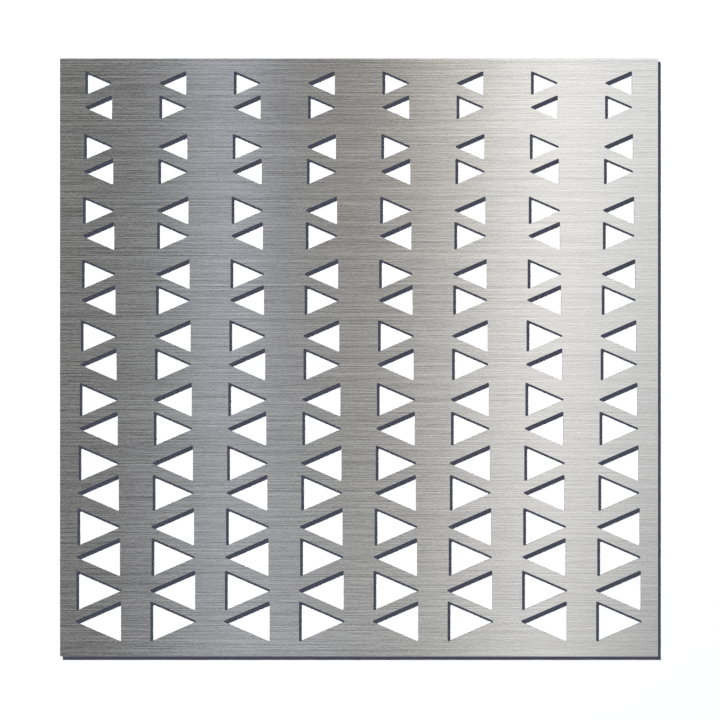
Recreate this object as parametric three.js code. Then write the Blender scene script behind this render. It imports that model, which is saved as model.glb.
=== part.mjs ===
// Laser cut screen: one square sheet of brushed steel with columns of triangular cut-outs.
// Four studs are welded to its back, and a sleeve on each stud holds it off the wall.
// Sizes are in millimetres. X runs along the screen, Y into the wall and Z up. The origin is
// on the wall's face, on the screen's centre line and level with its bottom edge.
import * as THREE from "three";

// Sheet
const sheetWidth = 600;
const sheetHeight = 600;
const sheetThickness = 3;

// Cut-outs: isosceles triangles with an upright base, pointing left and right by turns
const columnCount = 8;
const pairCount = 9;
const topMargin = 12.5;
const bottomMargin = 14.7;
const leftMargin = 14.1;
const rightMargin = 14.9;
const firstCutHeight = 24.35;
const cutHeightGrowth = 2.03;
const lowerRowRatio = 1.01;
const widthPerHeight = 1.15;
const baseShare = 0.478;
const cornerRadius = 1;
const cornerSteps = 1;

// Rows: each pair's two rows stand this far apart, growing by a step from pair to pair,
// with one wider step where the lower block of pairs begins
const firstRowSpacing = 24.3;
const rowSpacingGrowth = 0.62;
const lowerBlockStart = 4;
const lowerBlockExtra = 1.8;

// Studs, M6, capacitor discharge welded to the sheet's back
const studDiameter = 6;
const studLength = 25;
const studTipChamfer = 1;
const flangeDiameter = 7.5;
const flangeThickness = 1.2;
const studInset = 14;

// Sleeves, slipped over the studs
const sleeveLength = 12;
const sleeveDiameter = 14;
const sleeveChamfer = 0.5;
const boreClearance = 0.3;
const flangeClearance = 0.5;
const roundSteps = 32;

const brushedSteel = new THREE.MeshStandardMaterial({ color: 0xa9aaaa, roughness: 0.32, metalness: 1 });
const studSteel = new THREE.MeshStandardMaterial({ color: 0x9b9c9c, roughness: 0.38, metalness: 1 });
const turnedAluminium = new THREE.MeshStandardMaterial({ color: 0xc9cbcd, roughness: 0.3, metalness: 1 });

// Pattern: the size and place of every row, worked from the sheet's edges inwards

function upperCutHeight(pair) {
  return firstCutHeight + cutHeightGrowth * pair;
}

function lowerCutHeight(pair) {
  return upperCutHeight(pair) * lowerRowRatio;
}

function rowSpacing(pair) {
  const extra = pair >= lowerBlockStart ? lowerBlockExtra : 0;
  return firstRowSpacing + rowSpacingGrowth * pair + extra;
}

const lastPair = pairCount - 1;
const highestLowerRow = sheetHeight - topMargin - upperCutHeight(0) / 2 - rowSpacing(0);
const lowestLowerRow = bottomMargin + lowerCutHeight(lastPair) / 2;
const pairPitch = (highestLowerRow - lowestLowerRow) / lastPair;

// The widest tips of the last row set the side margins, and the columns share what is between
const widestReach = lowerCutHeight(lastPair) * widthPerHeight * (1 - baseShare);
const columnSpan = sheetWidth - leftMargin - rightMargin - 2 * widestReach;
const columnPitch = columnSpan / (columnCount - 1);
const firstColumnX = leftMargin + widestReach - sheetWidth / 2;

// One triangle with rounded corners. tip is +1 where it points to +X and -1 to -X.
// Each corner's arc is centred where the two sides beside it, moved in by the radius, meet.
function triangleCut(centreX, centreZ, height, tip) {
  const width = height * widthPerHeight;
  const half = height / 2;
  const side = Math.hypot(width, half);
  const lean = Math.atan2(width, half);
  const baseX = centreX - tip * baseShare * width;
  const along = (distance) => baseX + tip * distance;
  const turned = (angle) => (tip > 0 ? angle : Math.PI - angle);
  const tipCentre = width - (cornerRadius * side) / half;
  const baseCentreRise = half - (cornerRadius * (half + side)) / width;

  const path = new THREE.Path();
  const corner = (distance, rise, start, end) => {
    path.absarc(along(distance), centreZ + rise, cornerRadius, turned(start), turned(end), tip < 0);
  };
  corner(tipCentre, 0, -lean, lean);
  corner(cornerRadius, baseCentreRise, lean, Math.PI);
  corner(cornerRadius, -baseCentreRise, Math.PI, 2 * Math.PI - lean);
  path.closePath();
  return path;
}

function makeSheet() {
  const outline = new THREE.Shape();
  outline.moveTo(-sheetWidth / 2, 0);
  outline.lineTo(sheetWidth / 2, 0);
  outline.lineTo(sheetWidth / 2, sheetHeight);
  outline.lineTo(-sheetWidth / 2, sheetHeight);
  outline.closePath();

  for (let pair = 0; pair < pairCount; pair += 1) {
    const lowerZ = highestLowerRow - pairPitch * pair;
    const upperZ = lowerZ + rowSpacing(pair);
    for (let column = 0; column < columnCount; column += 1) {
      const centreX = firstColumnX + columnPitch * column;
      const tip = column % 2 === 0 ? 1 : -1;
      outline.holes.push(triangleCut(centreX, upperZ, upperCutHeight(pair), tip));
      outline.holes.push(triangleCut(centreX, lowerZ, lowerCutHeight(pair), -tip));
    }
  }

  const settings = { depth: sheetThickness, bevelEnabled: false, curveSegments: cornerSteps };
  const geometry = new THREE.ExtrudeGeometry(outline, settings);
  geometry.rotateX(Math.PI / 2);
  const sheet = new THREE.Mesh(geometry, brushedSteel);
  sheet.name = "screen_panel";
  sheet.position.y = -sleeveLength;
  return sheet;
}

// A stud: weld flange flat on the sheet's back, then the shank and its chamfered tip
function makeStud(place) {
  const radius = studDiameter / 2;
  const flangeRadius = flangeDiameter / 2;
  const profile = [
    [0, 0],
    [flangeRadius, 0],
    [flangeRadius, flangeThickness],
    [radius, flangeThickness],
    [radius, studLength - studTipChamfer],
    [radius - studTipChamfer, studLength],
    [0, studLength],
  ];
  return turnedPiece(`weld_stud_${place.name}`, profile, studSteel, place);
}

// A sleeve: a plain tube, recessed at the sheet's end so that it clears the weld flange
function makeSleeve(place) {
  const outer = sleeveDiameter / 2;
  const bore = studDiameter / 2 + boreClearance;
  const recess = flangeDiameter / 2 + flangeClearance;
  const recessDepth = flangeThickness + flangeClearance;
  const profile = [
    [recess, 0],
    [outer - sleeveChamfer, 0],
    [outer, sleeveChamfer],
    [outer, sleeveLength - sleeveChamfer],
    [outer - sleeveChamfer, sleeveLength],
    [bore, sleeveLength],
    [bore, recessDepth],
    [recess, recessDepth],
    [recess, 0],
  ];
  return turnedPiece(`standoff_sleeve_${place.name}`, profile, turnedAluminium, place);
}

// A turned piece on the Y axis, from pairs of radius and distance from the sheet's back
function turnedPiece(name, profile, material, place) {
  const points = profile.map(([radius, distance]) => new THREE.Vector2(radius, distance));
  const piece = new THREE.Mesh(new THREE.LatheGeometry(points, roundSteps), material);
  piece.name = name;
  piece.position.set(place.x, -sleeveLength, place.z);
  return piece;
}

const screen = new THREE.Group();
screen.add(makeSheet());

const fixingX = sheetWidth / 2 - studInset;
const fixingPlaces = [
  { name: "upper_left", x: -fixingX, z: sheetHeight - studInset },
  { name: "upper_right", x: fixingX, z: sheetHeight - studInset },
  { name: "lower_left", x: -fixingX, z: studInset },
  { name: "lower_right", x: fixingX, z: studInset },
];
for (const place of fixingPlaces) {
  screen.add(makeStud(place));
  screen.add(makeSleeve(place));
}

export default screen;
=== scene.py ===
# Laser cut metal screen: finished pieces, steel finishes and a white studio wall. Metres.
import math

import bpy
import numpy as np
from mathutils.geometry import delaunay_2d_cdt
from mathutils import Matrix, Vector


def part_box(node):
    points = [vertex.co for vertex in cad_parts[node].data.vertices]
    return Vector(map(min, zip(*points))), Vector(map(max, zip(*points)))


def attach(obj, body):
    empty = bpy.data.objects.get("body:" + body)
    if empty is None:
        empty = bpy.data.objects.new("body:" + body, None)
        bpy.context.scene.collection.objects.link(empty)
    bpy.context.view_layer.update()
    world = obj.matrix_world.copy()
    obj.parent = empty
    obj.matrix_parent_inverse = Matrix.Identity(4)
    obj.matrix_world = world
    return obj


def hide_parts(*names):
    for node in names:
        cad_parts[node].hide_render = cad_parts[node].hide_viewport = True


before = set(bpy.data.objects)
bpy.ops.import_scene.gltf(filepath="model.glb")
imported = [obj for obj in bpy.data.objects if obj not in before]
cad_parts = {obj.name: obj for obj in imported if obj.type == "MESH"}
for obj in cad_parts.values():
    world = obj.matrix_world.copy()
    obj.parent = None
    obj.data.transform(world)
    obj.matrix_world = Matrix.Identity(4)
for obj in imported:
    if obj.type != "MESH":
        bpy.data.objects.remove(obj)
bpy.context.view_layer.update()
mm = 0.001
fullTurn = 2 * math.pi
quarterTurn = math.pi / 2
scene = bpy.context.scene
print("frame loaded:", ", ".join(sorted(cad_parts)))


# Mesh helpers

def gridQuads(rows, columns, closed=False):
    # Quad (r, c) joins points (r, c), (r, c+1), (r+1, c+1) and (r+1, c). The columns run round and
    # meet, and where the grid is closed, so do the rows.
    r = np.arange(rows if closed else rows - 1)[:, None]
    c = np.arange(columns)[None, :]
    nextRow = (r + 1) % rows
    nextColumn = (c + 1) % columns
    corners = np.broadcast_arrays(
        r * columns + c,
        r * columns + nextColumn,
        nextRow * columns + nextColumn,
        nextRow * columns + c,
    )
    return np.stack(corners, axis=-1).reshape(-1, 4)


def newObject(name, points, faces, material):
    mesh = bpy.data.meshes.new(name)
    mesh.from_pydata(points, [], faces)
    mesh.materials.append(material)
    made = bpy.data.objects.new(name, mesh)
    scene.collection.objects.link(made)
    return made


def addPiece(name, points, faces, node, material):
    piece = newObject(name, points.tolist(), faces, material)
    piece.data.shade_smooth()
    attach(piece, "root")
    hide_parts(node)
    return piece


def addStage(name, points, faces, material):
    piece = newObject(name, points, faces, material)
    return piece


# Node helpers

noiseStart = (0.3, 0.4, 0.7)  # where the noise is read at the origin, off its own lattice
noiseMiddle = 0.5


def newMaterial(name):
    material = bpy.data.materials.new(name)
    material.use_nodes = True
    tree = material.node_tree
    return material, tree.nodes, tree.links, tree.nodes["Principled BSDF"]


def emptyMaterial(name):
    material, nodes, links, _ = newMaterial(name)
    nodes.clear()
    surface = nodes.new("ShaderNodeOutputMaterial").inputs["Surface"]
    return material, nodes, links, surface


def objectPlace(nodes):
    return nodes.new("ShaderNodeTexCoord").outputs["Object"]


def axisOf(nodes, links, vector, axis):
    apart = nodes.new("ShaderNodeSeparateXYZ")
    links.new(vector, apart.inputs[0])
    return apart.outputs[axis]


def mathNode(nodes, links, operation, first, second):
    node = nodes.new("ShaderNodeMath")
    node.operation = operation
    for socket, value in zip(node.inputs, (first, second)):
        if isinstance(value, (int, float)):
            socket.default_value = value
        else:
            links.new(value, socket)
    return node.outputs[0]


def timesPlus(nodes, links, value, factor, start):
    product = mathNode(nodes, links, "MULTIPLY", value, factor)
    return mathNode(nodes, links, "ADD", product, start)


def mapRange(nodes, links, value, low, high, kind="LINEAR"):
    # From 0 at low to 1 at high.
    spread = nodes.new("ShaderNodeMapRange")
    spread.interpolation_type = kind
    spread.inputs["From Min"].default_value = low
    spread.inputs["From Max"].default_value = high
    links.new(value, spread.inputs["Value"])
    return spread.outputs["Result"]


def colourRamp(nodes, links, value, stops):
    # A ramp from stops of (position from 0 to 1, colour), in rising order.
    ramp = nodes.new("ShaderNodeValToRGB")
    elements = ramp.color_ramp.elements
    while len(elements) > 1:
        elements.remove(elements[-1])
    for i, (position, colour) in enumerate(stops):
        element = elements[0] if i == 0 else elements.new(position)
        element.position = position
        element.color = (*colour, 1)
    links.new(value, ramp.inputs["Fac"])
    return ramp.outputs["Color"]


def streakNoise(nodes, links, vector, stretch, detail, turn=0.0):
    # Noise read at the vector times stretch: a small factor along an axis draws long streaks there.
    # turn leans the noise's own lattice, after the stretch, so that its lines don't show as bands.
    mapping = nodes.new("ShaderNodeMapping")
    mapping.inputs["Scale"].default_value = stretch
    mapping.inputs["Rotation"].default_value = (0, turn, 0)
    mapping.inputs["Location"].default_value = noiseStart
    links.new(vector, mapping.inputs["Vector"])
    noise = nodes.new("ShaderNodeTexNoise")
    noise.inputs["Scale"].default_value = 1.0
    noise.inputs["Detail"].default_value = detail
    links.new(mapping.outputs["Vector"], noise.inputs["Vector"])
    return noise.outputs["Fac"]


def metalTones(nodes, links, shader, value, tones):
    links.new(colourRamp(nodes, links, value, tones), shader.inputs["Base Color"])
    shader.inputs["Metallic"].default_value = 1.0


def addBump(nodes, links, shader, height, strength, depth):
    bump = nodes.new("ShaderNodeBump")
    bump.inputs["Strength"].default_value = strength
    bump.inputs["Distance"].default_value = depth * mm
    links.new(height, bump.inputs["Height"])
    links.new(bump.outputs["Normal"], shader.inputs["Normal"])


# Brushed face of the sheet. depthAcross is how deep the brushing is by X in millimetres.

brushed = dict(
    colour=(0.66, 0.66, 0.66),
    roughness=0.16,
    roughnessSwing=0.08,
    anisotropy=1.0,
    contrast=2.45,
    lightest=1.45,
    darkest=0.35,
    depthAcross=[
        (-300, 1.42), (-220, 1.25), (-160, 0.93), (-20, 0.91), (30, 0.96),
        (80, 0.80), (140, 0.60), (200, 0.46), (300, 0.44),
    ],
    lineSpacing=1.0,
    crispness=0.28,
    detail=1.0,
    streaks=[
        dict(stretch=(5.5, 1.0, 1550.0), share=0.54, turn=0.5),
        dict(stretch=(45.0, 1.0, 1700.0), share=0.36, turn=0.9),
        dict(stretch=(430.0, 1.0, 1900.0), share=0.44, turn=0.3),
    ],
    bumpStrength=0.25,
    bumpDepth=0.02,
)


def streakLayer(nodes, links, place, beside, streak):
    # The noise here less a part of the noise one line up, both about nought: crisper lines.
    stretch, detail, turn = streak["stretch"], brushed["detail"], streak["turn"]

    def streaksAt(vector):
        noise = streakNoise(nodes, links, vector, stretch, detail, turn)
        return mathNode(nodes, links, "SUBTRACT", noise, noiseMiddle)

    part = mathNode(nodes, links, "MULTIPLY", streaksAt(beside), brushed["crispness"])
    crisp = mathNode(nodes, links, "SUBTRACT", streaksAt(place), part)
    return mathNode(nodes, links, "MULTIPLY", crisp, streak["share"])


def brushedSteel():
    b = brushed
    material, nodes, links, shader = newMaterial("brushedSteel")
    place = objectPlace(nodes)
    beside = nodes.new("ShaderNodeVectorMath")
    beside.operation = "ADD"
    beside.inputs[1].default_value = (0, 0, b["lineSpacing"] * mm)
    links.new(place, beside.inputs[0])
    layers = [streakLayer(nodes, links, place, beside.outputs["Vector"], streak)
              for streak in b["streaks"]]
    together = layers[0]
    for layer in layers[1:]:
        together = mathNode(nodes, links, "ADD", together, layer)
    # The brushing is deepest at the left edge and lightest at the right
    first, last = b["depthAcross"][0][0], b["depthAcross"][-1][0]
    across = mapRange(nodes, links, axisOf(nodes, links, place, "X"), first * mm, last * mm)
    stops = [((x - first) / (last - first), (depth,) * 3) for x, depth in b["depthAcross"]]
    lines = mathNode(nodes, links, "MULTIPLY", together, colourRamp(nodes, links, across, stops))
    gain = timesPlus(nodes, links, lines, b["contrast"], 1.0)
    gain = mathNode(nodes, links, "MINIMUM", gain, b["lightest"])
    gain = mathNode(nodes, links, "MAXIMUM", gain, b["darkest"])
    tint = nodes.new("ShaderNodeVectorMath")
    tint.operation = "SCALE"
    tint.inputs[0].default_value = b["colour"]
    links.new(gain, tint.inputs["Scale"])
    links.new(tint.outputs["Vector"], shader.inputs["Base Color"])
    rough = timesPlus(nodes, links, lines, b["roughnessSwing"], b["roughness"])
    links.new(rough, shader.inputs["Roughness"])
    addBump(nodes, links, shader, lines, b["bumpStrength"], b["bumpDepth"])
    tangent = nodes.new("ShaderNodeTangent")
    tangent.direction_type = "UV_MAP"
    tangent.uv_map = "grain"
    links.new(tangent.outputs["Tangent"], shader.inputs["Tangent"])
    shader.inputs["Metallic"].default_value = 1.0
    shader.inputs["Anisotropic"].default_value = b["anisotropy"]
    return material


# Back of the sheet, as rolled: fine grain and wide faint patches

milled = dict(
    grainStretch=(90.0, 1.0, 900.0),
    patchStretch=(7.0, 1.0, 11.0),
    detail=3.0,
    share=0.5,
    tones=[(0.3, (0.4, 0.4, 0.4)), (0.7, (0.62, 0.62, 0.615))],
    roughness=0.3,
    roughnessSwing=0.14,
)


def milledSteel():
    material, nodes, links, shader = newMaterial("milledSteel")
    place = objectPlace(nodes)
    grain = streakNoise(nodes, links, place, milled["grainStretch"], milled["detail"])
    patches = streakNoise(nodes, links, place, milled["patchStretch"], milled["detail"])
    both = mathNode(nodes, links, "ADD", grain, patches)
    mixed = mathNode(nodes, links, "MULTIPLY", both, milled["share"])
    metalTones(nodes, links, shader, mixed, milled["tones"])
    rough = timesPlus(nodes, links, mixed, milled["roughnessSwing"], milled["roughness"])
    links.new(rough, shader.inputs["Roughness"])
    return material


# Laser cut edges: dark, with fine drag lines that run through the thickness

cutEdge = dict(
    dragStretch=(3200.0, 160.0, 1.0),
    detail=2.0,
    tones=[(0.35, (0.085, 0.088, 0.105)), (0.7, (0.18, 0.185, 0.21))],
    roughness=0.5,
    slantTint=(0.0, 0.0, 0.0, 1),  # keeps them dark where they are seen almost edge-on
    bumpStrength=0.5,
    bumpDepth=0.05,
)


def cutEdgeSteel():
    material, nodes, links, shader = newMaterial("cutEdgeSteel")
    uv = nodes.new("ShaderNodeUVMap")
    uv.uv_map = "grain"
    drag = streakNoise(nodes, links, uv.outputs["UV"], cutEdge["dragStretch"], cutEdge["detail"])
    metalTones(nodes, links, shader, drag, cutEdge["tones"])
    addBump(nodes, links, shader, drag, cutEdge["bumpStrength"], cutEdge["bumpDepth"])
    shader.inputs["Roughness"].default_value = cutEdge["roughness"]
    shader.inputs["Specular Tint"].default_value = cutEdge["slantTint"]
    return material


# The sheet: rows of triangular cut-outs, in millimetres as in the model

sheetLow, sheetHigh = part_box("screen_panel")
sheetSizes = dict(
    columns=8,
    pairs=9,
    topMargin=12.5,
    bottomMargin=14.7,
    leftMargin=14.1,
    rightMargin=14.9,
    firstCutHeight=24.35,
    cutHeightGrowth=2.03,
    lowerRowRatio=1.01,
    widthPerHeight=1.15,
    baseShare=0.478,
    firstRowSpacing=24.3,
    rowSpacingGrowth=0.62,
    lowerBlockStart=4,
    lowerBlockExtra=1.8,
    cutCornerRadius=1.0,
    sheetCornerRadius=0.5,
    rimRound=0.08,
    cornerSteps=5,
    rimSteps=1,
)
faceSlot, edgeSlot, backSlot = 0, 1, 2
insideOnly = 1  # delaunay_2d_cdt's choice of triangles: those inside the outline
joinWithin = 1e-9


def cutPattern():
    # Pairs of rows at an even pitch; heights and gaps grow pair by pair, directions alternate.
    s = sheetSizes
    width = (sheetHigh.x - sheetLow.x) / mm
    height = (sheetHigh.z - sheetLow.z) / mm
    pair = np.arange(s["pairs"])
    upper = s["firstCutHeight"] + s["cutHeightGrowth"] * pair
    lower = upper * s["lowerRowRatio"]
    spacing = s["firstRowSpacing"] + s["rowSpacingGrowth"] * pair
    spacing = spacing + np.where(pair >= s["lowerBlockStart"], s["lowerBlockExtra"], 0)
    highest = height - s["topMargin"] - upper[0] / 2 - spacing[0]
    lowest = s["bottomMargin"] + lower[-1] / 2
    lowerRow = highest + (lowest - highest) * pair / pair[-1]
    reach = lower[-1] * s["widthPerHeight"] * (1 - s["baseShare"])
    firstX = s["leftMargin"] + reach
    lastX = width - s["rightMargin"] - reach
    columnX = np.linspace(firstX, lastX, s["columns"]) - width / 2
    tip = np.where(np.arange(s["columns"]) % 2 == 0, 1, -1)
    rowZ = np.concatenate([lowerRow + spacing, lowerRow])
    rowHeight = np.concatenate([upper, lower])
    rowTip = np.concatenate([np.ones(s["pairs"]), -np.ones(s["pairs"])])
    x, z = np.meshgrid(columnX, rowZ)
    heights = np.broadcast_to(rowHeight[:, None], x.shape)
    tips = rowTip[:, None] * tip[None, :]
    return x.ravel(), z.ravel(), heights.ravel(), tips.ravel()


def cutArcs():
    # Corner arcs of every cut-out: centres are where the sides, moved in by the radius, meet,
    # and each arc turns from one side's outward direction to the next one's.
    s = sheetSizes
    x, z, height, tip = cutPattern()
    width = height * s["widthPerHeight"]
    half = height / 2
    side = np.hypot(width, half)
    lean = np.arctan2(width, half)
    radius = s["cutCornerRadius"]
    baseX = x - tip * s["baseShare"] * width
    inset = np.full_like(x, radius)
    along = np.stack([width - radius * side / half, inset, inset], 1)
    rise = half - radius * (half + side) / width
    centreZ = z[:, None] + np.stack([np.zeros_like(x), rise, -rise], 1)
    centreX = baseX[:, None] + tip[:, None] * along
    halfTurn = np.full_like(lean, math.pi)
    start = np.stack([-lean, lean, halfTurn], 1)
    end = np.stack([lean, halfTurn, fullTurn - lean], 1)
    share = np.linspace(0, 1, s["cornerSteps"] + 1)
    angle = start[..., None] + (end - start)[..., None] * share
    outX = tip[:, None, None] * np.cos(angle)
    outZ = np.sin(angle)
    # Tips to the right are listed backwards, so that every loop runs clockwise, as a hole's does
    right = tip > 0
    centreX[right] = centreX[right, ::-1]
    centreZ[right] = centreZ[right, ::-1]
    outX[right] = outX[right][:, ::-1, ::-1]
    outZ[right] = outZ[right][:, ::-1, ::-1]
    return centreX, centreZ, outX, outZ


def sheetOutline():
    # The sheet's own outline: four corner arcs, a quarter turn each, the other way round.
    s = sheetSizes
    radius = s["sheetCornerRadius"]
    right = sheetHigh.x / mm - radius
    top = sheetHigh.z / mm - radius
    bottom = sheetLow.z / mm + radius
    centreX = np.array([[right, -right, -right, right]])
    centreZ = np.array([[top, top, bottom, bottom]])
    quarter = np.linspace(0, quarterTurn, s["cornerSteps"] + 1)
    angle = (np.arange(4) * quarterTurn)[None, :, None] + quarter
    return centreX, centreZ, np.cos(angle), np.sin(angle)


def edgeProfile():
    # From the back face to the front: a quarter round, the straight wall and a quarter round.
    # offsets is how far a point stands back into the metal, wall and face its normal's shares.
    s = sheetSizes
    turn = np.linspace(0, quarterTurn, s["rimSteps"] + 1)
    rim = s["rimRound"]
    setBack = rim * (1 - np.sin(turn))
    depth = rim * (1 - np.cos(turn))
    backY = sheetHigh.y / mm
    frontY = sheetLow.y / mm
    offsets = np.concatenate([setBack, setBack[::-1]])
    y = np.concatenate([backY - depth, frontY + depth[::-1]])
    wall = np.concatenate([np.sin(turn), np.sin(turn[::-1])])
    face = np.concatenate([np.cos(turn), -np.cos(turn[::-1])])
    return offsets, y, wall, face


def sweepEdges(centreX, centreZ, outX, outZ, radius, hollow):
    # Every loop's wall: a point is its arc's centre plus a reach along the arc's direction, at the
    # profile's depth. The reach is the radius plus the set-back, or less it on the outline.
    offsets, y, wall, face = edgeProfile()
    count = len(centreX)
    sign = 1 if hollow else -1
    reach = (radius + offsets * sign)[None, :, None, None]
    shape = (count, len(offsets), outX.shape[1] * outX.shape[2])
    x = (centreX[:, None, :, None] + reach * outX[:, None]).reshape(shape)
    z = (centreZ[:, None, :, None] + reach * outZ[:, None]).reshape(shape)
    points = np.stack([x, np.broadcast_to(y[None, :, None], shape), z], -1)
    normalX = -sign * wall[None, :, None] * outX.reshape(count, 1, -1)
    normalZ = -sign * wall[None, :, None] * outZ.reshape(count, 1, -1)
    normalY = np.broadcast_to(face[None, :, None], normalX.shape)
    return points, np.stack([normalX, normalY, normalZ], -1)


def closeFace(points, loops):
    # Triangles between the outline, which is the last loop, and the cut-outs' loops.
    index = np.concatenate(loops)
    starts = np.cumsum([0] + [len(loop) for loop in loops])
    edges = np.concatenate([
        np.stack([np.arange(a, b), np.roll(np.arange(a, b), -1)], 1)
        for a, b in zip(starts[:-1], starts[1:])
    ])
    loopOf = np.repeat(np.arange(len(loops)), np.diff(starts))
    flat = points[index][:, [0, 2]]
    made = delaunay_2d_cdt(flat.tolist(), edges.tolist(), [], insideOnly, joinWithin)
    triangles, sources = made[2], made[3]
    origin = np.array([ids[0] for ids in sources])
    corners = origin[np.array(triangles)]
    # A triangle whose corners all lie on one cut-out's loop is in the hole
    owner = loopOf[corners]
    oneLoop = (owner[:, 0] == owner[:, 1]) & (owner[:, 1] == owner[:, 2])
    inHole = oneLoop & (owner[:, 0] < len(loops) - 1)
    return index[corners[~inHole]]


def makeSheet(faceFinish, edgeFinish, backFinish):
    s = sheetSizes
    swept = [
        sweepEdges(*cutArcs(), s["cutCornerRadius"], True),
        sweepEdges(*sheetOutline(), s["sheetCornerRadius"], False),
    ]
    points, normals, quads, wallRow, wallU, backLoops, frontLoops = [], [], [], [], [], [], []
    total = 0
    for loopPoints, loopNormals in swept:
        for oneLoop, oneNormals in zip(loopPoints, loopNormals):
            rows, columns = oneLoop.shape[:2]
            quads.append(gridQuads(rows, columns) + total)
            step = np.linalg.norm(np.roll(oneLoop[0], -1, 0) - oneLoop[0], axis=1)
            run = np.concatenate([[0], np.cumsum(step)])
            oneRow = np.stack([run[:-1], run[1:], run[1:], run[:-1]], 1)
            wallU.append(np.tile(oneRow, (rows - 1, 1)))
            wallRow.append(np.repeat(np.arange(rows - 1), columns))
            backLoops.append(total + np.arange(columns))
            frontLoops.append(total + (rows - 1) * columns + np.arange(columns))
            points.append(oneLoop.reshape(-1, 3))
            normals.append(oneNormals.reshape(-1, 3))
            total += rows * columns
    points = np.concatenate(points) * mm
    normals = np.concatenate(normals)
    quads = np.concatenate(quads)
    wallRow = np.concatenate(wallRow)
    wallU = np.concatenate(wallU) * mm
    back = closeFace(points, backLoops)[:, ::-1]
    front = closeFace(points, frontLoops)
    faces = quads.tolist() + back.tolist() + front.tolist()
    sheet = addPiece("screenSheet", points, faces, "screen_panel", faceFinish)
    mesh = sheet.data
    mesh.materials.append(edgeFinish)
    mesh.materials.append(backFinish)
    onWall = wallRow == s["rimSteps"]
    roundSlot = np.where(wallRow < s["rimSteps"], backSlot, faceSlot)
    slots = np.concatenate([
        np.where(onWall, edgeSlot, roundSlot),
        np.full(len(back), backSlot),
        np.full(len(front), faceSlot),
    ])
    mesh.polygons.foreach_set("material_index", slots.astype(np.int32))
    # Flat places are mapped by height and width, so that U climbs the sheet; walls by run and depth
    corner = np.zeros(len(mesh.loops), np.int32)
    mesh.loops.foreach_get("vertex_index", corner)
    uv = points[corner][:, [2, 0]]
    wallCorners = np.flatnonzero(np.repeat(onWall, 4))
    uv[wallCorners, 0] = wallU.reshape(-1)[wallCorners]
    uv[wallCorners, 1] = points[corner[wallCorners], 1]
    layer = mesh.uv_layers.new(name="grain")
    layer.data.foreach_set("uv", uv.astype(np.float32).ravel())
    mesh.normals_split_custom_set_from_vertices(normals.tolist())
    return sheet


sheet = makeSheet(brushedSteel(), cutEdgeSteel(), milledSteel())
print("sheet made:", len(sheet.data.polygons), "faces")


# Studs and sleeves, turned on the Y axis, in millimetres

def nodeAxis(node):
    # Where a turned piece's axis is, where it starts and ends along Y, and its widest radius.
    low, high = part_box(node)
    centreX = (low.x + high.x) / 2 / mm
    centreZ = (low.z + high.z) / 2 / mm
    return centreX, centreZ, low.y / mm, high.y / mm, (high.x - low.x) / 2 / mm


def turnedPoints(radius, depth, centreX, centreZ, startY, steps):
    # A point is the axis plus radius(row, angle) towards the angle, at depth(row) along Y.
    angle = np.linspace(0, fullTurn, steps, endpoint=False)
    radius = np.broadcast_to(radius, (len(depth), steps))
    x = centreX + radius * np.cos(angle)
    z = centreZ + radius * np.sin(angle)
    y = np.broadcast_to((startY + depth)[:, None], x.shape)
    return np.stack([x, y, z], -1).reshape(-1, 3)


stud = dict(
    radius=3.0,
    tipRadius=2.0,
    pitch=1.0,
    threadDepth=0.61,
    rootShare=0.25,
    flankShare=0.625,
    flangeThickness=1.2,
    flangeRound=0.15,
    aroundSteps=40,
    rowsPerPitch=12,
    sharpAngle=35,
)


def makeStud(place, finish):
    # Radius is the flange's, then a thread's whose crest climbs one pitch a turn, and never more
    # than the tip's cone.
    s = stud
    node = f"weld_stud_{place}"
    centreX, centreZ, startY, endY, flange = nodeAxis(node)
    length = endY - startY
    steps = s["aroundSteps"]
    thickness = s["flangeThickness"]
    rowStep = s["pitch"] / s["rowsPerPitch"]
    threadY = np.append(np.arange(thickness + rowStep, length, rowStep), length)
    angle = np.linspace(0, fullTurn, steps, endpoint=False)
    phase = (threadY[:, None] / s["pitch"] - angle[None, :] / fullTurn) % 1
    climb = np.clip((np.abs(phase - 0.5) * 2 - s["rootShare"]) / s["flankShare"], 0, 1)
    thread = s["radius"] - s["threadDepth"] * (1 - climb)
    cone = s["tipRadius"] + (length - threadY)[:, None]
    rounding = s["flangeRound"]
    root = s["radius"] - s["threadDepth"]
    headRadius = np.array([flange - rounding, flange, flange, flange - rounding, root])
    headY = np.array([0, rounding, thickness - rounding, thickness, thickness])
    head = np.broadcast_to(headRadius[:, None], (len(headRadius), steps))
    radius = np.concatenate([head, np.minimum(thread, cone)])
    depth = np.concatenate([headY, threadY])
    points = turnedPoints(radius, depth, centreX, centreZ, startY, steps)
    quads = gridQuads(len(depth), steps)[:, ::-1]
    first = np.arange(steps)
    last = first + (len(depth) - 1) * steps
    startPole = np.full(steps, len(points))
    startFan = np.stack([startPole, first, np.roll(first, -1)], 1)
    endFan = np.stack([startPole + 1, np.roll(last, -1), last], 1)
    faces = quads.tolist() + startFan.tolist() + endFan.tolist()
    ends = np.array([[centreX, startY, centreZ], [centreX, endY, centreZ]])
    points = np.concatenate([points, ends]) * mm
    piece = addPiece(f"studM6_{place}", points, faces, node, finish)
    piece.data.set_sharp_from_angle(angle=math.radians(s["sharpAngle"]))
    return piece


sleeveSizes = dict(
    bore=3.3,
    boreEase=0.15,
    recess=4.25,
    recessDepth=1.7,
    chamfer=0.5,
    chamferEase=0.1,
    chamferDrop=0.06,
    aroundSteps=72,
    sharpAngle=30,
)


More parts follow.
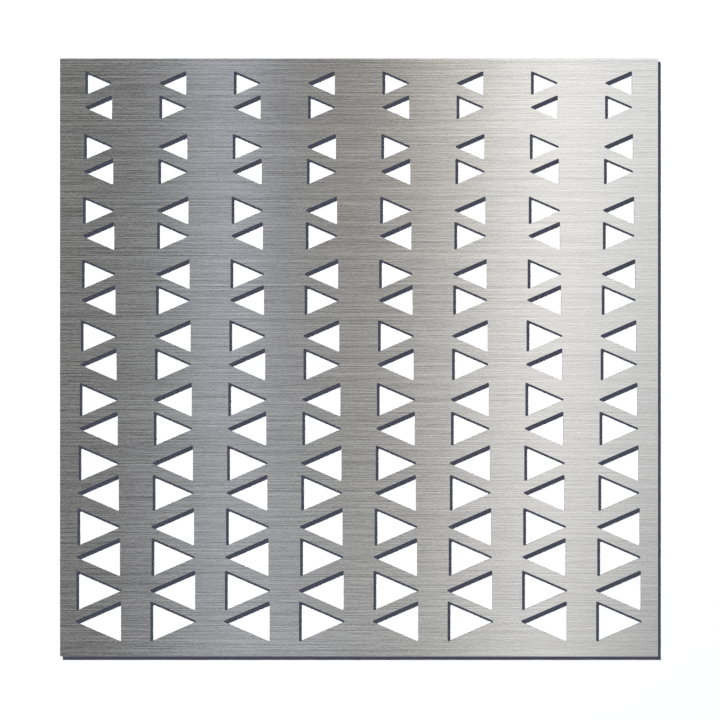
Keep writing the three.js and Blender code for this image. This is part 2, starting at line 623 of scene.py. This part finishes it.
def makeSleeve(place, finish):
    # A closed profile of radius and depth, turned all the way round the stud's axis.
    s = sleeveSizes
    node = f"standoff_sleeve_{place}"
    centreX, centreZ, startY, endY, outer = nodeAxis(node)
    length = endY - startY
    chamfer, ease, eased = s["chamfer"], s["chamferEase"], outer - s["chamferDrop"]
    profile = np.array([
        [s["recess"], 0],
        [outer - chamfer, 0],
        [eased, chamfer - ease],
        [outer, chamfer + ease],
        [outer, length - chamfer - ease],
        [eased, length - chamfer + ease],
        [outer - chamfer, length],
        [s["bore"] + s["boreEase"], length],
        [s["bore"], length - s["boreEase"]],
        [s["bore"], s["recessDepth"]],
        [s["recess"], s["recessDepth"]],
    ])
    steps = s["aroundSteps"]
    points = turnedPoints(profile[:, :1], profile[:, 1], centreX, centreZ, startY, steps) * mm
    faces = gridQuads(len(profile), steps, closed=True)[:, ::-1].tolist()
    piece = addPiece(f"standoffSleeve_{place}", points, faces, node, finish)
    piece.data.set_sharp_from_angle(angle=math.radians(s["sharpAngle"]))
    return piece


turned = dict(acrossStretch=12.0, detail=2.0, roughnessSwing=0.15, bumpStrength=0.3, bumpDepth=0.02)
studSteel = dict(
    tones=[(0.35, (0.42, 0.42, 0.42)), (0.65, (0.58, 0.58, 0.57))],
    roughness=0.26,
    fineness=900.0,
)
turnedAluminium = dict(
    tones=[(0.35, (0.62, 0.63, 0.64)), (0.65, (0.78, 0.79, 0.8))],
    roughness=0.2,
    fineness=3500.0,
)


def turnedMetal(name, metal):
    # Tool marks are rings round the Y axis, so the noise changes fastest along Y.
    material, nodes, links, shader = newMaterial(name)
    stretch = (turned["acrossStretch"], metal["fineness"], turned["acrossStretch"])
    rings = streakNoise(nodes, links, objectPlace(nodes), stretch, turned["detail"])
    metalTones(nodes, links, shader, rings, metal["tones"])
    rough = timesPlus(nodes, links, rings, turned["roughnessSwing"], metal["roughness"])
    links.new(rough, shader.inputs["Roughness"])
    addBump(nodes, links, shader, rings, turned["bumpStrength"], turned["bumpDepth"])
    return material


studFinish = turnedMetal("studSteel", studSteel)
sleeveFinish = turnedMetal("turnedAluminium", turnedAluminium)
for place in ("upper_left", "upper_right", "lower_left", "lower_right"):
    makeStud(place, studFinish)
    makeSleeve(place, sleeveFinish)
print("studs and sleeves made")

# Camera, square-on

camera = dict(
    distance=3.0,
    frameWidth=0.72237,
    right=0.00103,
    down=0.00254,
    sensorWidth=36,
    seesTo=60,
)
camData = bpy.data.cameras.new("camera")
camData.sensor_fit = "HORIZONTAL"
camData.sensor_width = camera["sensorWidth"]
camData.lens = camera["sensorWidth"] * camera["distance"] / camera["frameWidth"]
camData.clip_end = camera["seesTo"]
camObject = bpy.data.objects.new("camera", camData)
scene.collection.objects.link(camObject)
sheetMiddleZ = (sheetLow.z + sheetHigh.z) / 2
cameraPlace = np.array([
    camera["right"], sheetLow.y - camera["distance"], sheetMiddleZ - camera["down"],
])
camObject.location = cameraPlace
camObject.rotation_euler = (quarterTurn, 0, 0)
scene.camera = camObject

# White wall close behind the sleeves, and the floor

wallSizes = dict(behind=0.0003, half=1.1, top=1.7)
wallPaint = dict(colour=(0.9, 0.9, 0.9, 1), shade=(0.036, 0.04, 0.062, 1))
floorSizes = dict(half=8.0, height=-0.36)
floorPaint = dict(colour=(0.78, 0.78, 0.79, 1), roughness=0.9)


def wallMaterial():
    # White paint in front with a little cool fill in its shadows, and nothing at all from behind,
    # so that the sheet's back can be seen too.
    material, nodes, links, surface = emptyMaterial("wallPaint")
    paint = nodes.new("ShaderNodeBsdfDiffuse")
    paint.inputs["Color"].default_value = wallPaint["colour"]
    fill = nodes.new("ShaderNodeEmission")
    fill.inputs["Color"].default_value = wallPaint["shade"]
    front = nodes.new("ShaderNodeAddShader")
    clear = nodes.new("ShaderNodeBsdfTransparent")
    side = nodes.new("ShaderNodeNewGeometry")
    mix = nodes.new("ShaderNodeMixShader")
    links.new(side.outputs["Backfacing"], mix.inputs["Fac"])
    links.new(paint.outputs[0], front.inputs[0])
    links.new(fill.outputs[0], front.inputs[1])
    links.new(front.outputs[0], mix.inputs[1])
    links.new(clear.outputs[0], mix.inputs[2])
    links.new(mix.outputs[0], surface)
    return material


def floorMaterial():
    material, _, _, shader = newMaterial("floorPaint")
    shader.inputs["Base Color"].default_value = floorPaint["colour"]
    shader.inputs["Roughness"].default_value = floorPaint["roughness"]
    return material


oneFace = [(0, 1, 2, 3)]
floorZ = floorSizes["height"]
wallY, wallHalf, wallTop = wallSizes["behind"], wallSizes["half"], wallSizes["top"]
wallCorners = [(-wallHalf, wallY, floorZ), (wallHalf, wallY, floorZ),
               (wallHalf, wallY, wallTop), (-wallHalf, wallY, wallTop)]
wall = addStage("wall", wallCorners, oneFace, wallMaterial())
wall.visible_glossy = False
wall.visible_diffuse = False
wall.visible_shadow = False

floorHalf = floorSizes["half"]
floorCorners = [(-floorHalf, -floorHalf, floorZ), (floorHalf, -floorHalf, floorZ),
                (floorHalf, floorHalf, floorZ), (-floorHalf, floorHalf, floorZ)]
floor = addStage("floor", floorCorners, oneFace, floorMaterial())
floor.visible_glossy = False
floor.visible_diffuse = False

# Screen round the studio: grey levels by bearing, seen only in the metal

screenSizes = dict(
    radius=3.6,
    low=-5.0,
    high=6.0,
    sides=96,
    strength=1.3,
    softBelow=-0.9,
    clearAbove=0.9,
)
# Tones by bearing in degrees from straight behind the camera, right positive: a dark side on the
# left, a narrow cool panel, a gap and a wide warm panel on the right. The lower part is softer.
screenTones = dict(
    upper=[
        (-180, 0.54, 0.54, 0.54), (-150, 0.38, 0.38, 0.38), (-120, 0.50, 0.50, 0.50),
        (-60, 0.80, 0.80, 0.80), (-25, 0.27, 0.27, 0.275), (-8, 0.194, 0.194, 0.19),
        (-6.2, 0.28, 0.28, 0.29), (-4.9, 0.49, 0.503, 0.55), (-4, 0.44, 0.447, 0.49),
        (-3.3, 0.258, 0.259, 0.27), (-2.2, 0.244, 0.243, 0.236), (0.2, 0.286, 0.278, 0.249),
        (1.8, 0.432, 0.409, 0.377), (3.5, 0.622, 0.589, 0.543), (5.4, 0.88, 0.865, 0.824),
        (6.5, 1.065, 1.05, 0.99), (9, 0.895, 0.895, 0.89), (20, 0.65, 0.65, 0.66),
        (60, 0.60, 0.60, 0.60), (120, 0.64, 0.64, 0.64), (150, 0.76, 0.76, 0.76),
        (180, 0.54, 0.54, 0.54),
    ],
    lower=[
        (-180, 0.46, 0.46, 0.46), (-150, 0.34, 0.34, 0.34), (-60, 0.60, 0.60, 0.60),
        (-25, 0.31, 0.31, 0.31), (-10, 0.192, 0.191, 0.19), (-6, 0.337, 0.34, 0.357),
        (-3, 0.433, 0.435, 0.46), (-0.5, 0.426, 0.43, 0.442), (2, 0.374, 0.388, 0.396),
        (4.5, 0.565, 0.573, 0.583), (7, 0.594, 0.592, 0.592), (11, 0.225, 0.225, 0.228),
        (25, 0.40, 0.40, 0.40), (60, 0.60, 0.60, 0.60), (150, 0.64, 0.64, 0.64),
        (180, 0.46, 0.46, 0.46),
    ],
)


def toneRamp(nodes, links, bearing, tones):
    stops = [(0.5 + degrees / 360, colour) for degrees, *colour in tones]
    return colourRamp(nodes, links, bearing, stops)


def screenMaterial():
    material, nodes, links, surface = emptyMaterial("screenGradient")
    place = objectPlace(nodes)
    turn = nodes.new("ShaderNodeMapping")
    turn.inputs["Rotation"].default_value = (0, 0, quarterTurn)
    gradient = nodes.new("ShaderNodeTexGradient")
    gradient.gradient_type = "RADIAL"
    links.new(place, turn.inputs["Vector"])
    links.new(turn.outputs["Vector"], gradient.inputs["Vector"])
    bearing = gradient.outputs["Fac"]
    climb = mapRange(nodes, links, axisOf(nodes, links, place, "Z"),
                     screenSizes["softBelow"], screenSizes["clearAbove"], "SMOOTHSTEP")
    blend = nodes.new("ShaderNodeMix")
    blend.data_type = "RGBA"
    factor, lowerColour, upperColour = blend.inputs[0], blend.inputs[6], blend.inputs[7]
    links.new(climb, factor)
    links.new(toneRamp(nodes, links, bearing, screenTones["lower"]), lowerColour)
    links.new(toneRamp(nodes, links, bearing, screenTones["upper"]), upperColour)
    light = nodes.new("ShaderNodeEmission")
    light.inputs["Strength"].default_value = screenSizes["strength"]
    links.new(blend.outputs[2], light.inputs["Color"])
    # Left out of light that has already met a matt surface, so that it doesn't wash the shadows out
    rays = nodes.new("ShaderNodeLightPath")
    matt = mathNode(nodes, links, "GREATER_THAN", rays.outputs["Diffuse Depth"], 0.5)
    dark = nodes.new("ShaderNodeEmission")
    dark.inputs["Strength"].default_value = 0.0
    choose = nodes.new("ShaderNodeMixShader")
    links.new(matt, choose.inputs["Fac"])
    links.new(light.outputs[0], choose.inputs[1])
    links.new(dark.outputs[0], choose.inputs[2])
    links.new(choose.outputs[0], surface)
    return material


def makeScreen():
    # An upright drum: a point is the radius towards its bearing, at the lower or upper height.
    s = screenSizes
    bearing = np.linspace(0, fullTurn, s["sides"], endpoint=False)
    ring = np.stack([s["radius"] * np.cos(bearing), s["radius"] * np.sin(bearing)], 1)
    low = np.column_stack([ring, np.full(s["sides"], s["low"])])
    high = np.column_stack([ring, np.full(s["sides"], s["high"])])
    points = np.concatenate([low, high]).tolist()
    faces = gridQuads(2, s["sides"]).tolist()
    drum = addStage("gradientScreen", points, faces, screenMaterial())
    drum.visible_camera = False
    drum.visible_diffuse = False
    drum.visible_shadow = False
    drum.visible_transmission = False


makeScreen()


def linkLamp(lamp, receiver, state):
    group = bpy.data.collections.new(lamp.name + "Receivers")
    group.objects.link(receiver)
    lamp.light_linking.receiver_collection = group
    for member in group.collection_objects:
        member.light_linking.link_state = state


# Lamp for the wall: as far off as the camera, so its shadow steps aside evenly all over the sheet.
# The two shadow values are its step aside and down, for each metre between edge and wall.

wallLamp = dict(shadowRight=0.192, shadowDown=0.236, size=0.05, strength=45.0)
lampData = bpy.data.lights.new("wallLamp", "POINT")
lampData.shadow_soft_size = wallLamp["size"]
lampData.energy = 1.0
lampData.use_nodes = True
lampNodes, lampLinks = lampData.node_tree.nodes, lampData.node_tree.links
falloff = lampNodes.new("ShaderNodeLightFalloff")
falloff.inputs["Strength"].default_value = wallLamp["strength"]
lampLinks.new(falloff.outputs["Constant"], lampNodes["Emission"].inputs["Strength"])
lampObject = bpy.data.objects.new("wallLamp", lampData)
scene.collection.objects.link(lampObject)
lampAside = np.array([-wallLamp["shadowRight"], 0, wallLamp["shadowDown"]])
lampObject.location = cameraPlace + camera["distance"] * lampAside
linkLamp(lampObject, wall, "INCLUDE")

# Even soft light from above for all the rest, from the same side

keyLamp = dict(tilt=35, turn=-20, softness=30, strength=4.1)
keyData = bpy.data.lights.new("keyLamp", "SUN")
keyData.angle = math.radians(keyLamp["softness"])
keyData.energy = keyLamp["strength"]
keyObject = bpy.data.objects.new("keyLamp", keyData)
scene.collection.objects.link(keyObject)
keyObject.rotation_euler = (math.radians(keyLamp["tilt"]), 0, math.radians(keyLamp["turn"]))
keyObject.visible_glossy = False
linkLamp(keyObject, wall, "EXCLUDE")

# World: white for the eye and for mirrors, a dim cool sky for everything matt

sky = dict(dim=(0.03, 0.032, 0.04, 1), white=(1, 1, 1, 1))
world = bpy.data.worlds.new("studioSky")
scene.world = world
world.use_nodes = True
skyNodes, skyLinks = world.node_tree.nodes, world.node_tree.links
skyNodes.clear()
rays = skyNodes.new("ShaderNodeLightPath").outputs
seen = mathNode(skyNodes, skyLinks, "ADD", rays["Is Camera Ray"], rays["Is Glossy Ray"])
seen = mathNode(skyNodes, skyLinks, "ADD", seen, rays["Is Transmission Ray"])
dimSky = skyNodes.new("ShaderNodeBackground")
dimSky.inputs["Color"].default_value = sky["dim"]
whiteSky = skyNodes.new("ShaderNodeBackground")
whiteSky.inputs["Color"].default_value = sky["white"]
pick = skyNodes.new("ShaderNodeMixShader")
skyOut = skyNodes.new("ShaderNodeOutputWorld")
skyLinks.new(seen, pick.inputs["Fac"])
skyLinks.new(dimSky.outputs[0], pick.inputs[1])
skyLinks.new(whiteSky.outputs[0], pick.inputs[2])
skyLinks.new(pick.outputs[0], skyOut.inputs["Surface"])

scene.view_settings.view_transform = "Standard"
print("studio made")
